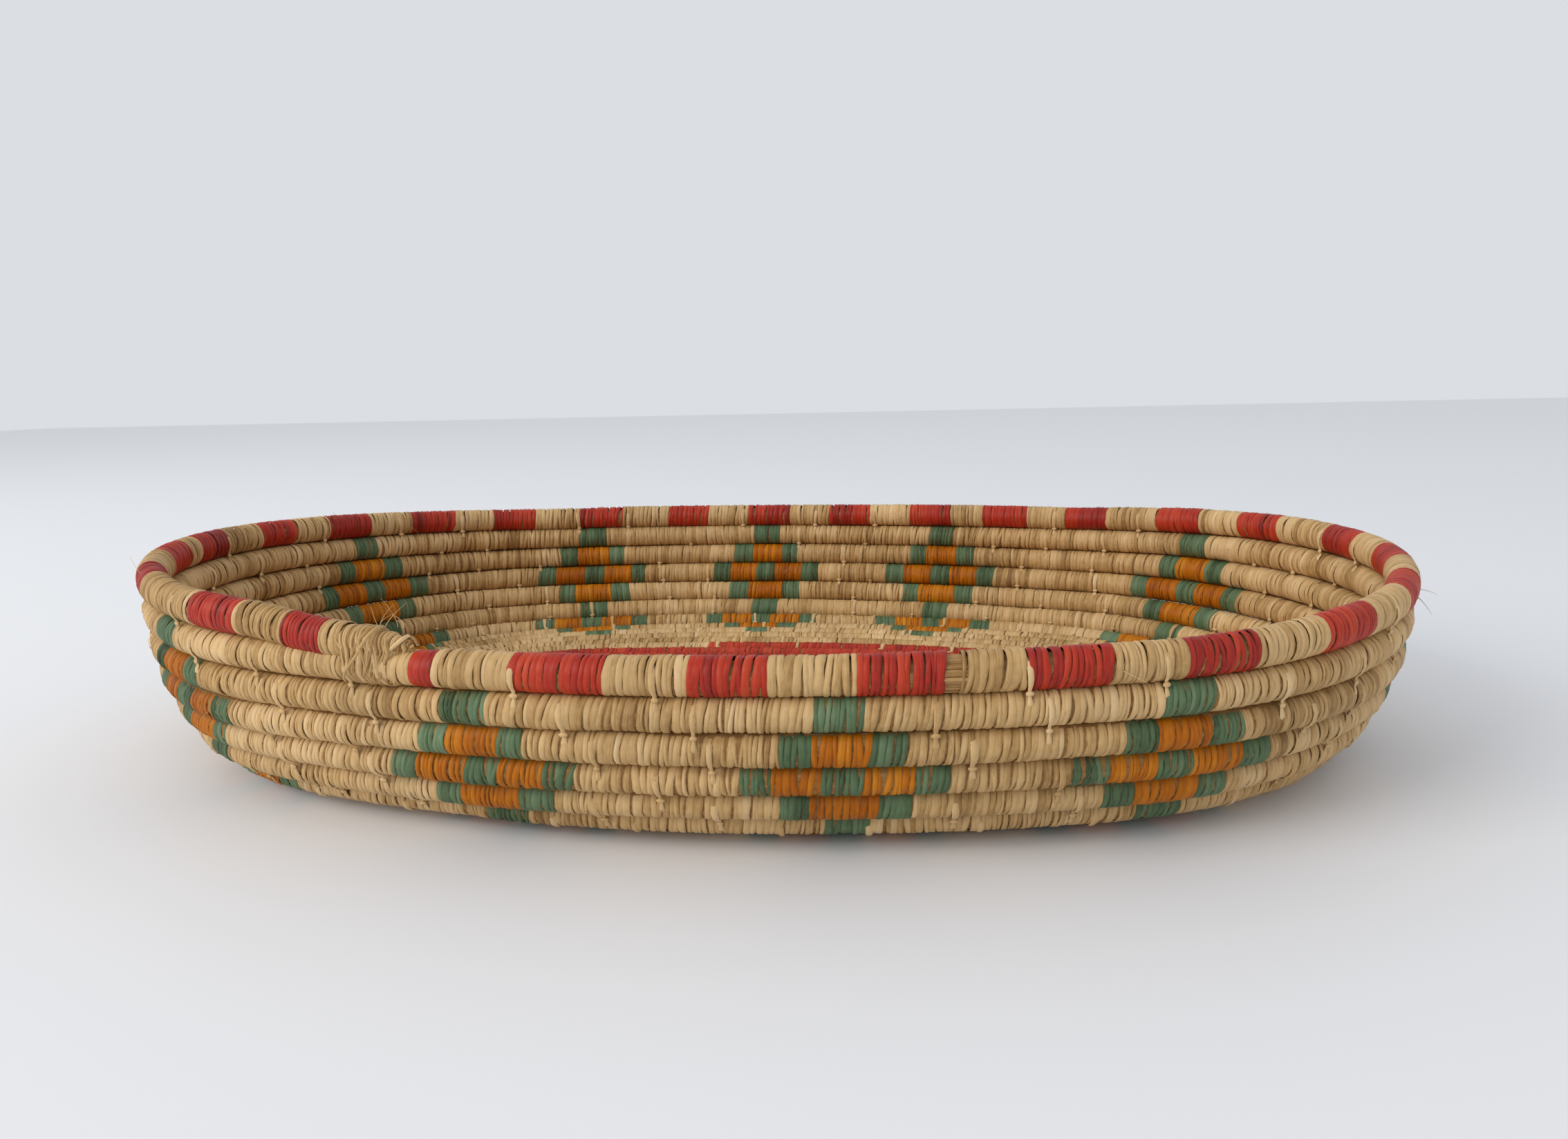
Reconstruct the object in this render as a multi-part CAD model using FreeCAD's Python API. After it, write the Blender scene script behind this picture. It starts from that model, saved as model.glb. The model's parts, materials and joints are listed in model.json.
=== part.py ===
"""A coiled oval basket: one rounded bundle of straw, wound as a rising spiral and wrapped in dyed strips.

The frame: the floor is z = 0, the middle of the base is at x = y = 0, the long side lies along X.
The coil starts in the middle of the base, runs counter-clockwise as seen from above, climbs the wall
and ends on the rim at the join, to the left of the front.  Places along it are given in turns, counted
down from that end: turn 0 to 1 is the rim, 1 to 6 the rows of the wall, 6 onwards the base.
"""
import FreeCAD, Part
import math
import os

# ---- driving dimensions, in millimetres and degrees ----
LENGTH = 450.0            # over the rim, along X
WIDTH = 302.0             # over the rim, along Y
COIL_DIAMETER = 9.7       # a wrapped row of the wall or the rim
BASE_COIL_DIAMETER = 9.0  # a wrapped row of the base
WRAP_THICKNESS = 0.5      # the strips on the bundle
WORN_THICKNESS = 0.25     # what is left of the strips where the base has worn flat on the floor
ROW_PITCH = 10.4          # from one row of the wall to the next
BASE_ROW_PITCH = 10.0     # least distance from one row of the base to the next
SIDE_BULGE = 13.0         # how far the long sides swell past a straight-sided oval
END_LIFT = 3.5            # the rim rises this much at the two ends and dips as much along the sides
TWIST = 1.0               # it is warped: up by this much at back right and front left, down at the others
WALL_LEANS = (4.0, 5.0, 10.0, 22.0, 28.0, 45.0, 66.0)   # from upright, for each turn below the rim's end
JOIN_BEFORE_FRONT = 0.06  # turns from the join to the middle of the front

RED_FIRST = 0.0035        # turns from the join to the middle of the first red band of the rim, if evenly laid
RED_SPACING = 0.0358      # turns from one red band to the next
RED_SHIFTS = (7, -2, 0, 0, 0, -7, -2, 9, 5, 6, 22, 22, 26, 19, 7, 3, 0, 0, 6, 9, 5, 5, -3, 2, -26, -17, 27, 8)
                          # hundredths of that spacing by which each band was laid off its even place
RED_SHARE = 0.50          # of each spacing, but for the bands numbered here
RED_SHARES = {0: 0.18, 1: 0.59, 27: 0.33}
RED_CENTRE_FROM = 11.4    # turns down from the rim's end, where the base changes to red
BARE_BAND = 3             # the red band after which the bundle shows through
BARE_LENGTH = 4.0

MOTIF_PLACES = (0.0145, 0.0985, 0.1725, 0.279, 0.397, 0.502, 0.578, 0.654, 0.751, 0.918)   # turns past the join
GREEN_TIP = 12.8          # widths along the row of a motif's blocks
GREEN_EDGE = 8.5
GREEN_HEART = 10.0
ORANGE_UPPER = 15.0
ORANGE_LOWER = 18.5
ORANGE_NARROW = 14.0

TIE_SPACING = 31.0        # between stitches along a row
TIE_WIDTH = 1.8
TIE_THICKNESS = 0.6
WHIPPING_LENGTH = 17.0    # the binding over the coil's end
WHIPPING_THICKNESS = 1.0
WHIPPING_STOP = 1.0       # its edge lies this far above the middle of the row below
COIL_END_TAPER = 20.0     # the bundle's end narrows over this length
COIL_END_RADIUS = 2.0

TIE_STAGGER = 0.38        # share of the spacing by which each row's stitches are moved on from the last row's
TIE_MARGIN = 0.15         # share of the spacing kept free at a row's ends

BENDS_PER_END = 8         # bends of the coil's line round each end and along each side
BENDS_PER_SIDE = 4
ROUND_SHARE = 0.45        # share of the shorter run that a bend takes
HALVINGS = 50             # steps in finding where an end arc lies
LEAST_RUN = 0.01          # pieces of the line shorter than this are left out
LEAST_BAND = 0.05         # gaps between bands shorter than this are closed
LEAST_TUBE = 1.0          # a band is not split closer than this to its ends
WEAR_MARGIN = 1.0         # the box that wears the base flat reaches this far past each piece
WEAR_DEPTH = 5.0

# ---- sizes that follow ----
WRAPPED_RADIUS = COIL_DIAMETER / 2
BUNDLE_RADIUS = WRAPPED_RADIUS - WRAP_THICKNESS
BASE_WRAPPED_RADIUS = BASE_COIL_DIAMETER / 2
BASE_BUNDLE_RADIUS = BASE_WRAPPED_RADIUS - WRAP_THICKNESS
BASE_HEIGHT = BASE_BUNDLE_RADIUS + WORN_THICKNESS
HALF_LENGTH = LENGTH / 2 - WRAPPED_RADIUS
HALF_WIDTH = WIDTH / 2 - WRAPPED_RADIUS
WALL_TURNS = len(WALL_LEANS)
RIM_AND_WALL_ROWS = 6
FIRST_ROW_OFFSET = BASE_ROW_PITCH / 4

STEP_IN = [ROW_PITCH * math.sin(math.radians(lean)) for lean in WALL_LEANS]
STEP_DOWN = [ROW_PITCH * math.cos(math.radians(lean)) for lean in WALL_LEANS]
FOOT_OFFSET = sum(STEP_IN)
FOOT_HALF_WIDTH = HALF_WIDTH - FOOT_OFFSET
BACK_TURN = 0.5 - JOIN_BEFORE_FRONT


def vector(x, y, z=0.0):
    return FreeCAD.Vector(x, y, z)


def fit_base():
    """The pitch of the base's rows and the turn of the first row: whole turns, so that the rows close up."""
    room = FOOT_HALF_WIDTH - FIRST_ROW_OFFSET
    turns = math.floor(room / BASE_ROW_PITCH - BACK_TURN)
    return room / (turns + BACK_TURN), WALL_TURNS + turns + BACK_TURN


BASE_PITCH, FIRST_ROW_TURN = fit_base()


def offset_at(turn):
    """How far inside the rim's line the coil lies, this many turns down from its end."""
    if turn >= WALL_TURNS:
        return FOOT_OFFSET + (turn - WALL_TURNS) * BASE_PITCH
    whole = max(math.floor(turn), 0)
    return sum(STEP_IN[:whole]) + (turn - whole) * STEP_IN[whole]


def height_at(turn):
    if turn >= WALL_TURNS:
        return BASE_HEIGHT
    whole = max(math.floor(turn), 0)
    return BASE_HEIGHT + sum(STEP_DOWN[whole:]) - (turn - whole) * STEP_DOWN[whole]


RIM_HEIGHT = height_at(0) - BASE_HEIGHT


# ---- the oval: two long side arcs and two end arcs to each turn ----
class Arc:
    """An arc of the plan, run through counter-clockwise, with the turns at its two ends."""

    def __init__(self, centre, radius, turn_from, turn_to):
        self.centre = centre
        self.radius = radius
        self.turn_from = turn_from
        self.turn_to = turn_to
        self.angle_from = 0.0
        self.angle_to = 0.0

    def corners(self, bends):
        """(turn, point) where the tangents at the ends of each of its bends meet."""
        half = (self.angle_to - self.angle_from) / bends / 2
        found = []
        for number in range(bends):
            share = (number + 0.5) / bends
            turn = self.turn_from + share * (self.turn_to - self.turn_from)
            angle = self.angle_from + (2 * number + 1) * half
            found.append((turn, self.point(turn, angle, self.radius / math.cos(half))))
        return found

    def point(self, turn, angle, reach):
        climbed = max(height_at(turn) - BASE_HEIGHT, 0.0)
        lift = (END_LIFT * math.cos(2 * angle) + TWIST * math.sin(2 * angle)) * climbed / RIM_HEIGHT
        return self.centre + vector(reach * math.cos(angle), reach * math.sin(angle), height_at(turn) + lift)


def side_shape(turn):
    """Half width at this turn, the end arcs' centre along X, and the side arc's centre along Y."""
    half_width = HALF_WIDTH - offset_at(turn)
    bulge = SIDE_BULGE * min(half_width / FOOT_HALF_WIDTH, 1.0)
    end_x = HALF_LENGTH - HALF_WIDTH + bulge
    side_y = (end_x ** 2 - bulge ** 2) / (2 * bulge)
    return half_width, end_x, side_y


def shares_of_a_turn():
    """The share of the rim's length in half of one side, and in one end."""
    half_width, end_x, side_y = side_shape(0)
    corner = math.atan2(side_y, end_x)
    side = (side_y + half_width) * (math.pi / 2 - corner)
    end = 2 * corner * (half_width + side_y - math.hypot(end_x, side_y))
    return side / (4 * side + 2 * end), end / (4 * side + 2 * end)


HALF_SIDE_SHARE, END_SHARE = shares_of_a_turn()


def side_arc(number):
    """Side arcs are numbered from the coil's end down: even ones are the front, odd ones the back."""
    turn = number / 2 - JOIN_BEFORE_FRONT
    half_width, _, side_y = side_shape(turn)
    toward = 1 if number % 2 == 0 else -1
    return Arc(vector(0, toward * side_y), side_y + half_width, turn + HALF_SIDE_SHARE, turn - HALF_SIDE_SHARE)


def end_arc(number, before, after):
    """The end arc that touches the side arcs before and after it, found by halving its place along Y."""
    turn = (number + 0.5) / 2 - JOIN_BEFORE_FRONT
    end_x = side_shape(turn)[1]
    if number % 2 == 0:
        end_x = -end_x
    low, high = -ROW_PITCH, ROW_PITCH
    front, back = (before, after) if before.centre.y > 0 else (after, before)
    for _ in range(HALVINGS):
        middle = vector(end_x, (low + high) / 2)
        room_in_front = front.radius - (middle - front.centre).Length
        room_behind = back.radius - (middle - back.centre).Length
        if room_in_front < room_behind:
            low = middle.y
        else:
            high = middle.y
    return Arc(middle, room_in_front, turn + END_SHARE / 2, turn - END_SHARE / 2)


def plan_arcs():
    """All arcs from the first row of the base to the rim's end, each meeting the next in one tangent."""
    count = round(2 * (FIRST_ROW_TURN + JOIN_BEFORE_FRONT))
    sides = [side_arc(number) for number in range(count + 1)]
    arcs = [sides[count]]
    for number in range(count - 1, -1, -1):
        arcs.append(end_arc(number, sides[number + 1], sides[number]))
        arcs.append(sides[number])
    for before, after in zip(arcs, arcs[1:]):
        between = (after.centre - before.centre) if before.radius > after.radius else (before.centre - after.centre)
        angle = math.atan2(between.y, between.x)
        before.angle_to = angle
        after.angle_from = angle
    arcs[0].angle_from = math.pi - arcs[0].angle_to
    arcs[-1].angle_to = -math.pi - arcs[-1].angle_from
    for arc in arcs:
        if arc.angle_to < arc.angle_from:
            arc.angle_to += 2 * math.pi
    return arcs


class CoilLine:
    """The coil's centre line: runs joined by tangent arcs, from the middle of the base to the rim's end."""

    def __init__(self):
        self.edges = []
        self.starts = []
        self.length = 0.0
        self.turns = []
        self.places = []
        self.round_off(self.corners())

    def corners(self):
        """(turn, point): the line's two ends, and between them the corners that are then rounded."""
        arcs = plan_arcs()
        first = arcs[0]
        points = [(first.turn_from, first.point(first.turn_from, first.angle_from, first.radius))]
        for arc in arcs[:-1]:
            is_side = arc.centre.x == 0
            points += arc.corners(BENDS_PER_SIDE if is_side else BENDS_PER_END)
        last = arcs[-1]
        points += last.corners(BENDS_PER_SIDE)[:BENDS_PER_SIDE // 2]
        middle_turn = (last.turn_from + last.turn_to) / 2
        middle_angle = (last.angle_from + last.angle_to) / 2
        points.append((middle_turn, last.point(middle_turn, middle_angle, last.radius)))
        return points

    def add(self, edge):
        self.starts.append(self.length)
        self.edges.append(edge)
        self.length += edge.Length

    def round_off(self, corners):
        """Adds the runs and the arcs, and notes where along the line each turn is."""
        position = corners[0][1]
        self.turns.append(corners[0][0])
        self.places.append(0.0)
        for before, here, after in zip(corners, corners[1:], corners[2:]):
            into = here[1] - before[1]
            out = after[1] - here[1]
            turned = into.getAngle(out)
            trim = ROUND_SHARE * min(into.Length, out.Length)
            into.normalize()
            out.normalize()
            arc_start = here[1] - into * trim
            arc_end = here[1] + out * trim
            radius = trim / math.tan(turned / 2)
            to_centre = (out - into).normalize()
            middle = here[1] + to_centre * (radius / math.cos(turned / 2) - radius)
            self.add(Part.LineSegment(position, arc_start).toShape())
            arc = Part.Arc(arc_start, middle, arc_end).toShape()
            self.turns.append(here[0])
            self.places.append(self.length + arc.Length / 2)
            self.add(arc)
            position = arc_end
        self.add(Part.LineSegment(position, corners[-1][1]).toShape())
        self.turns.append(corners[-1][0])
        self.places.append(self.length)

    def place(self, turn):
        """Distance along the line of a given turn."""
        pairs = list(zip(self.turns, self.places))
        for (turn_a, place_a), (turn_b, place_b) in zip(pairs, pairs[1:]):
            if turn_b <= turn <= turn_a:
                return place_a + (turn_a - turn) / (turn_a - turn_b) * (place_b - place_a)
        return 0.0 if turn > self.turns[0] else self.length

    def turn(self, place):
        """The turn at a given distance along the line."""
        pairs = list(zip(self.turns, self.places))
        for (turn_a, place_a), (turn_b, place_b) in zip(pairs, pairs[1:]):
            if place_a <= place <= place_b:
                return turn_a + (place - place_a) / (place_b - place_a) * (turn_b - turn_a)
        return self.turns[-1]

    def stretch(self, start, end):
        """The part of the line between two distances, as a wire."""
        pieces = []
        for edge, edge_start in zip(self.edges, self.starts):
            low = max(start - edge_start, 0.0)
            high = min(end - edge_start, edge.Length)
            if high - low < LEAST_RUN:
                continue
            first = edge.getParameterByLength(low)
            last = edge.getParameterByLength(high)
            pieces.append(edge.Curve.toShape(first, last))
        return Part.Wire(pieces)

    def frame(self, distance):
        """Point and direction at a distance along the line."""
        for edge, edge_start in zip(self.edges, self.starts):
            if distance <= edge_start + edge.Length:
                parameter = edge.getParameterByLength(max(distance - edge_start, 0.0))
                return edge.valueAt(parameter), edge.tangentAt(parameter)
        edge = self.edges[-1]
        return edge.valueAt(edge.LastParameter), edge.tangentAt(edge.LastParameter)


LINE = CoilLine()
FOOT_PLACE = LINE.place(RIM_AND_WALL_ROWS)


def wrapped_radius(place):
    return BASE_WRAPPED_RADIUS if place < FOOT_PLACE else WRAPPED_RADIUS


def bundle_radius(place):
    return wrapped_radius(place) - WRAP_THICKNESS


def section(distance, radius):
    point, direction = LINE.frame(distance)
    return Part.Wire(Part.Circle(point, direction, radius).toShape())


def rod(start, end, radius):
    """A solid round bar along the coil's line."""
    face = Part.Face(section(start, radius))
    return LINE.stretch(start, end).makePipe(face)


def sleeve(start, end):
    """The strips wound on one stretch of the bundle, as a tube."""
    middle = (start + end) / 2
    hole = section(start, bundle_radius(middle))
    hole.reverse()
    ring = Part.Face([section(start, wrapped_radius(middle)), hole])
    return LINE.stretch(start, end).makePipe(ring)


def worn_flat(solid):
    """The base rests on the floor: what would lie under z = 0 is worn away."""
    box = solid.BoundBox
    if box.ZMin >= -LEAST_RUN:
        return solid
    corner = vector(box.XMin - WEAR_MARGIN, box.YMin - WEAR_MARGIN, -WEAR_DEPTH)
    under = Part.makeBox(box.XLength + 2 * WEAR_MARGIN, box.YLength + 2 * WEAR_MARGIN, WEAR_DEPTH, corner)
    return solid.cut(under)


# ---- which colour lies where ----
def motif_rows():
    """(rows below the rim, blocks from left to right) of one motif: a diamond, and half of one on the base."""
    tip = (("green", GREEN_TIP),)
    upper = (("green", GREEN_EDGE), ("orange", ORANGE_UPPER), ("green", GREEN_EDGE))
    middle = (("green", GREEN_EDGE), ("orange", ORANGE_NARROW), ("green", GREEN_HEART),
              ("orange", ORANGE_NARROW), ("green", GREEN_EDGE))
    lower = (("green", GREEN_EDGE), ("orange", ORANGE_LOWER), ("green", GREEN_EDGE))
    diamond = (tip, upper, middle, lower, tip)
    half_diamond = (middle, lower, tip)
    return list(enumerate(diamond + half_diamond, start=1))


def coloured_bands():
    """(start, end, colour) along the line, in order, with nothing between two bands but straw strips."""
    bands = []
    for number, shift in enumerate(RED_SHIFTS):
        turn = 1 - RED_FIRST - (number + shift / 100) * RED_SPACING
        half = RED_SHARES.get(number, RED_SHARE) * RED_SPACING / 2
        bands.append((LINE.place(turn + half), LINE.place(turn - half), "red"))
        if number == BARE_BAND:
            bands.append((bands[-1][1], bands[-1][1] + BARE_LENGTH, "bare"))
    bands.append((0.0, LINE.place(RED_CENTRE_FROM), "red"))
    for place in MOTIF_PLACES:
        for row, blocks in motif_rows():
            middle = LINE.place(row + 1 - place)
            start = middle - sum(width for _, width in blocks) / 2
            for colour, width in blocks:
                bands.append((start, start + width, colour))
                start += width
    return sorted(bands)


def all_bands():
    """The coloured bands with the straw ones between them, from the middle of the base to the rim's end."""
    bands = []
    place = 0.0
    for start, end, colour in coloured_bands():
        if start - place > LEAST_BAND:
            bands.append((place, start, "straw"))
        bands.append((max(start, place), end, colour))
        place = end
    bands.append((place, COIL_END, "straw"))
    return bands


def row_name(turn):
    """The name of the row that a turn lies in."""
    whole = math.floor(turn)
    if whole < 1:
        return "rim"
    if whole < RIM_AND_WALL_ROWS:
        return "wall_row_%d" % (RIM_AND_WALL_ROWS - whole)
    if turn < RED_CENTRE_FROM:
        return "base_row_%d" % (whole - RIM_AND_WALL_ROWS + 1)
    return "centre_row_%d" % (whole - math.floor(RED_CENTRE_FROM) + 1)


COIL_END = LINE.place(0.0) - COIL_END_TAPER
LAST_WHOLE_TURN = math.floor(FIRST_ROW_TURN)
ROW_LIMITS = [LINE.place(turn) for turn in range(LAST_WHOLE_TURN, 0, -1)]


def cut_at_rows(bands):
    """Splits the straw and the base's red bands where one row ends and the next begins."""
    pieces = []
    for start, end, colour in bands:
        plain = colour == "straw" or start == 0.0
        limits = [limit for limit in ROW_LIMITS
                  if start + LEAST_TUBE < limit < end - LEAST_TUBE and (plain or limit == FOOT_PLACE)]
        stops = [start] + limits + [end]
        pieces += [(low, high, colour) for low, high in zip(stops, stops[1:])]
    return pieces


# ---- the pieces ----
def foundation():
    """The bundle of straw itself: one continuous piece, kept as the flat base and a turn for each row."""
    flat_end = LINE.place(WALL_TURNS)
    nodes = {"foundation_base": [rod(0.0, flat_end, BASE_BUNDLE_RADIUS)],
             "foundation_base_row_1": [rod(flat_end, FOOT_PLACE, BASE_BUNDLE_RADIUS)]}
    for whole in range(RIM_AND_WALL_ROWS - 1, 0, -1):
        name = "foundation_" + row_name(whole)
        nodes[name] = [rod(LINE.place(whole + 1), LINE.place(whole), BUNDLE_RADIUS)]
    point, direction = LINE.frame(COIL_END)
    taper = Part.makeCone(BUNDLE_RADIUS, COIL_END_RADIUS, COIL_END_TAPER, point, direction)
    rim = rod(LINE.place(1), COIL_END, BUNDLE_RADIUS)
    nodes["foundation_rim"] = [rim.fuse(taper)]
    return nodes


def wraps():
    """The strips on the bundle: one tube for each band of one colour, grouped by colour and row."""
    nodes = {}
    for start, end, colour in cut_at_rows(all_bands()):
        if colour == "bare":
            continue
        name = "%s_wrap_%s" % (colour, row_name(LINE.turn((start + end) / 2)))
        nodes.setdefault(name, []).append(worn_flat(sleeve(start, end)))
    return nodes


def tie(distance, lower_distance, side):
    """One stitch between two neighbouring rows: a flat strip that touches the crests of both."""
    upper, direction = LINE.frame(distance)
    lower, _ = LINE.frame(lower_distance)
    across = lower - upper
    span = across.Length
    across.normalize()
    outward = direction.cross(across).normalize() * side
    along = across.cross(outward).normalize()
    length = span + 2 * TIE_THICKNESS
    radius = max(wrapped_radius(distance), wrapped_radius(lower_distance))
    corner = upper - across * TIE_THICKNESS - along * (TIE_WIDTH / 2) + outward * radius
    strip = Part.makeBox(TIE_WIDTH, length, TIE_THICKNESS)
    strip.Placement = FreeCAD.Placement(corner, FreeCAD.Rotation(along, across, outward, "XYZ"))
    return strip


def upward_side(distance, lower_distance):
    """Which side of two neighbouring rows faces up: 1 for the left of the line's direction, else -1."""
    upper, direction = LINE.frame(distance)
    lower, _ = LINE.frame(lower_distance)
    return 1 if direction.cross(lower - upper).z > 0 else -1


def tie_stitches():
    """Stitches between each row and the next, staggered so that two never lie end to end."""
    nodes = {}
    for whole in range(0, LAST_WHOLE_TURN - 1):
        on_base = whole >= RIM_AND_WALL_ROWS - 1
        low_place = LINE.place(whole + 1)
        row_length = LINE.place(whole) - low_place
        count = max(round(row_length / TIE_SPACING), 2)
        stagger = TIE_MARGIN + (1 - 2 * TIE_MARGIN) * ((TIE_STAGGER * whole) % 1.0)
        name = "tie_stitches_base_%d" % (whole - RIM_AND_WALL_ROWS + 2)
        if not on_base:
            name = "tie_stitches_wall_%d" % (RIM_AND_WALL_ROWS - 1 - whole)
        for number in range(count):
            turn = whole + 1 - (number + stagger) / count
            here = LINE.place(turn)
            below = LINE.place(turn + 1)
            if here > COIL_END - 2 * TIE_WIDTH:
                continue
            up = upward_side(here, below)
            sides = (up,) if on_base else (up, -up)
            nodes.setdefault(name, []).extend(tie(here, below, side) for side in sides)
    return nodes


def rim_end_whipping():
    """The strips that bind the coil's end down on to the row below it, as one saddle over both."""
    upper, direction = LINE.frame(COIL_END + COIL_END_TAPER / 2)
    lower_place = LINE.place(1) - COIL_END_TAPER / 2
    lower, _ = LINE.frame(lower_place)
    up = (upper - lower).normalize()
    side = direction.cross(up).normalize() * (WRAPPED_RADIUS + WHIPPING_THICKNESS)
    start = direction * (-WHIPPING_LENGTH / 2)
    low = lower + up * WHIPPING_STOP + start
    high = upper + start
    crest = high + up * (WRAPPED_RADIUS + WHIPPING_THICKNESS)
    outline = Part.Wire([Part.LineSegment(low - side, high - side).toShape(),
                         Part.Arc(high - side, crest, high + side).toShape(),
                         Part.LineSegment(high + side, low + side).toShape(),
                         Part.LineSegment(low + side, low - side).toShape()])
    saddle = Part.Face(outline).extrude(direction * WHIPPING_LENGTH)
    return saddle.cut(rod(lower_place - WHIPPING_LENGTH, lower_place + WHIPPING_LENGTH, WRAPPED_RADIUS))


def build():
    """Every piece of the basket, as a list of solids under its name."""
    nodes = foundation()
    nodes.update(wraps())
    nodes.update(tie_stitches())
    nodes["rim_end_whipping"] = [rim_end_whipping().cut(nodes["foundation_rim"][0])]
    return nodes


def export(nodes):
    os.makedirs("parts", exist_ok=True)
    for name, solids in sorted(nodes.items()):
        found = [solid for shape in solids for solid in shape.Solids]
        shape = found[0] if len(found) == 1 else Part.makeCompound(found)
        shape.exportStep("parts/%s.step" % name)
        print("%-28s %3d solids %10.1f mm3 valid %s" % (name, len(found), shape.Volume, shape.isValid()))


export(build())
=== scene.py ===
import json
import math

import bpy
import numpy as np
from mathutils import Matrix


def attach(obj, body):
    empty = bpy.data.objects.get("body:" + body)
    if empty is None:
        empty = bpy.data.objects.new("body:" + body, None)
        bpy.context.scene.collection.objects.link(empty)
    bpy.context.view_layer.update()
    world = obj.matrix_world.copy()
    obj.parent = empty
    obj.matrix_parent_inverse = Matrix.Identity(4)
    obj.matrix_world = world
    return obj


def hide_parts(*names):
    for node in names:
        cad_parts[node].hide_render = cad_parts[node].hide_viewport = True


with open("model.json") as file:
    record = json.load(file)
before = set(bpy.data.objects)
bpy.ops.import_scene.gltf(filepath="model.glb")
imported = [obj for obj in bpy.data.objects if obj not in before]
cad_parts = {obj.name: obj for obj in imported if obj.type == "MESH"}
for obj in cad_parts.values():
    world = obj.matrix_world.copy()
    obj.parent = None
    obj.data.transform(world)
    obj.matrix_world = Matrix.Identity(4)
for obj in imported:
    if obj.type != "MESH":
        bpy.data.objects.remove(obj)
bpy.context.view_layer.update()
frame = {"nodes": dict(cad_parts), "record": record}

# A coiled oval basket tray.  Lengths are in millimetres until a mesh is made; the scene itself is in metres.
# Places along the coil are distances from its start in the middle of the base; turns are counted down from
# the coil's end on the rim, so turn 0 to 1 is the rim, 1 to 6 the wall and 6 onwards the base.

MM = 0.001

# ---- seeds, so that each run draws the same values ----
SPACING_SEED = 20260507
WANDER_IN_SEED = 11
WANDER_UP_SEED = 12
SPACING_GROUP_SEED = 21
THICKNESS_SEED = 31
LOOSENESS_SEED = 32
TONE_GROUP_SEED = 33
TONE_STRETCH_SEED = 34
SLANT_SEED = 35
REED_SEED = 71
WHIPPING_SEED = 77
FIBRE_SEED = 88
FIRST_TIE_SEED = 500
FIRST_STRIP_SEED = 9000

# ---- the coil's line, which follows the CAD part's; the wrapping is up to 0.1 mm fuller ----
LENGTH = 450.0
WIDTH = 302.0
WRAPPED_RADIUS = 4.9
BASE_WRAPPED_RADIUS = 4.6
WRAP_THICKNESS = 0.5
WORN_THICKNESS = 0.25
RADIUS_CHANGE = 20.0      # the base's radius turns into the wall's over this much of the coil either way
ROW_PITCH = 10.4
BASE_ROW_PITCH = 10.0
SIDE_BULGE = 13.0
END_LIFT = 3.5
TWIST = 1.0
WALL_LEANS = (4.0, 5.0, 10.0, 22.0, 28.0, 45.0, 66.0)
JOIN_BEFORE_FRONT = 0.06
BASE_HEIGHT = BASE_WRAPPED_RADIUS - WRAP_THICKNESS + WORN_THICKNESS
HALF_LENGTH = LENGTH / 2 - WRAPPED_RADIUS
HALF_WIDTH = WIDTH / 2 - WRAPPED_RADIUS
WALL_TURNS = len(WALL_LEANS)
RIM_AND_WALL_ROWS = 6
LAST_TURN = -0.002        # the samples stop just past the coil's end, which is turn 0
SAMPLE_STEP = 0.5
LEAST_SAMPLES = 3
HALVINGS = 50

STEP_IN = [ROW_PITCH * math.sin(math.radians(lean)) for lean in WALL_LEANS]
STEP_DOWN = [ROW_PITCH * math.cos(math.radians(lean)) for lean in WALL_LEANS]
FOOT_OFFSET = sum(STEP_IN)
FOOT_HALF_WIDTH = HALF_WIDTH - FOOT_OFFSET
BACK_TURN = 0.5 - JOIN_BEFORE_FRONT
BASE_ROOM = FOOT_HALF_WIDTH - BASE_ROW_PITCH / 4
BASE_TURNS = math.floor(BASE_ROOM / BASE_ROW_PITCH - BACK_TURN)
BASE_PITCH = BASE_ROOM / (BASE_TURNS + BACK_TURN)
FIRST_ROW_TURN = WALL_TURNS + BASE_TURNS + BACK_TURN


def offset_at(turn):
    """How far inside the rim's line the coil lies."""
    if turn >= WALL_TURNS:
        return FOOT_OFFSET + (turn - WALL_TURNS) * BASE_PITCH
    whole = max(math.floor(turn), 0)
    return sum(STEP_IN[:whole]) + (turn - whole) * STEP_IN[whole]


def height_at(turn):
    if turn >= WALL_TURNS:
        return BASE_HEIGHT
    whole = max(math.floor(turn), 0)
    return BASE_HEIGHT + sum(STEP_DOWN[whole:]) - (turn - whole) * STEP_DOWN[whole]


RIM_HEIGHT = height_at(0) - BASE_HEIGHT


def side_shape(turn):
    """Half width, the end arcs' centre along X and the side arc's centre along Y."""
    half_width = HALF_WIDTH - offset_at(turn)
    bulge = SIDE_BULGE * min(half_width / FOOT_HALF_WIDTH, 1.0)
    end_x = HALF_LENGTH - HALF_WIDTH + bulge
    side_y = (end_x ** 2 - bulge ** 2) / (2 * bulge)
    return half_width, end_x, side_y


def shares_of_a_turn():
    half_width, end_x, side_y = side_shape(0)
    corner = math.atan2(side_y, end_x)
    side = (side_y + half_width) * (math.pi / 2 - corner)
    end = 2 * corner * (half_width + side_y - math.hypot(end_x, side_y))
    return side / (4 * side + 2 * end), end / (4 * side + 2 * end)


HALF_SIDE_SHARE, END_SHARE = shares_of_a_turn()


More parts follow.
